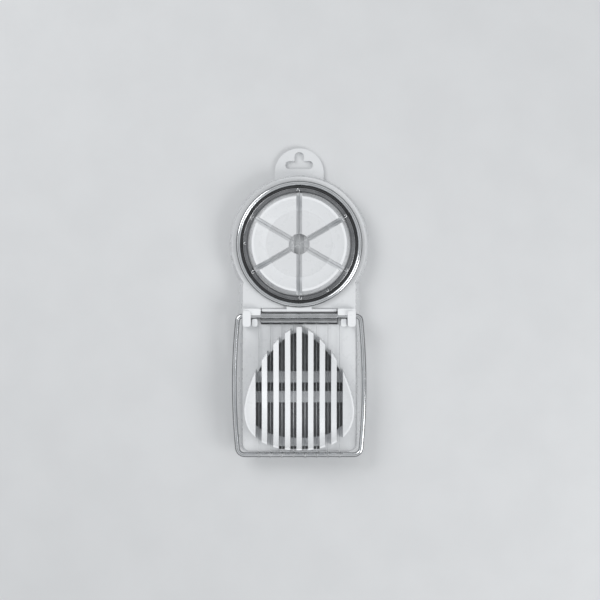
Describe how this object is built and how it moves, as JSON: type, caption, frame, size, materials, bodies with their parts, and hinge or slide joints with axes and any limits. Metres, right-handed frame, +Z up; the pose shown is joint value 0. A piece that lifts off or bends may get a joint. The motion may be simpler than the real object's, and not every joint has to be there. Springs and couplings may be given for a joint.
{
  "type": "egg slicer",
  "caption": "Two-in-one egg slicer: white moulded body with a hinged wire frame over a slotted egg holder and a hinged ring of crossed wires over a round wedging dish.",
  "frame": {"origin": "middle of the part's box on the resting plane, under the neck between the two ends", "axes": "+Z up from the resting plane, +Y from the slicer end towards the hang tab, +X across"},
  "size_m": [0.0888, 0.196, 0.0265],
  "materials": {
    "white_plastic": "glossy cool white moulding",
    "polished_rod": "polished round steel rod",
    "pressed_steel": "bright rolled sheet steel",
    "cutting_wire": "thin drawn steel wire"
  },
  "bodies": {
    "body": {"base": "white_plastic", "wedger_hinge_pin": "pressed_steel"},
    "slicer_frame": {"slicer_frame_rod": "polished_rod", "wire_anchor_strip": "pressed_steel", "slicing_wire_1": "cutting_wire", "slicing_wire_2": "cutting_wire", "slicing_wire_3": "cutting_wire", "slicing_wire_4": "cutting_wire", "slicing_wire_5": "cutting_wire", "slicing_wire_6": "cutting_wire", "slicing_wire_7": "cutting_wire", "slicing_wire_8": "cutting_wire", "wire_wraps": "cutting_wire"},
    "wedger_frame": {"wedger_ring_rod": "polished_rod", "wedger_wire_band": "pressed_steel", "wedging_wire_1": "cutting_wire", "wedging_wire_2": "cutting_wire", "wedging_wire_3": "cutting_wire", "wedger_wire_hooks": "cutting_wire", "wedger_hinge_barrel": "white_plastic"}
  },
  "joints": [
    {"name": "slicer_frame_hinge", "type": "hinge", "parent": "body", "child": "slicer_frame", "pos_m": [0, -0.00869, 0.014], "axis": [-1, 0, 0], "range_deg": [0, 95]},
    {"name": "wedger_frame_hinge", "type": "hinge", "parent": "body", "child": "wedger_frame", "pos_m": [0, -0.00519, 0.0126], "axis": [1, 0, 0], "range_deg": [0, 75]}
  ]
}
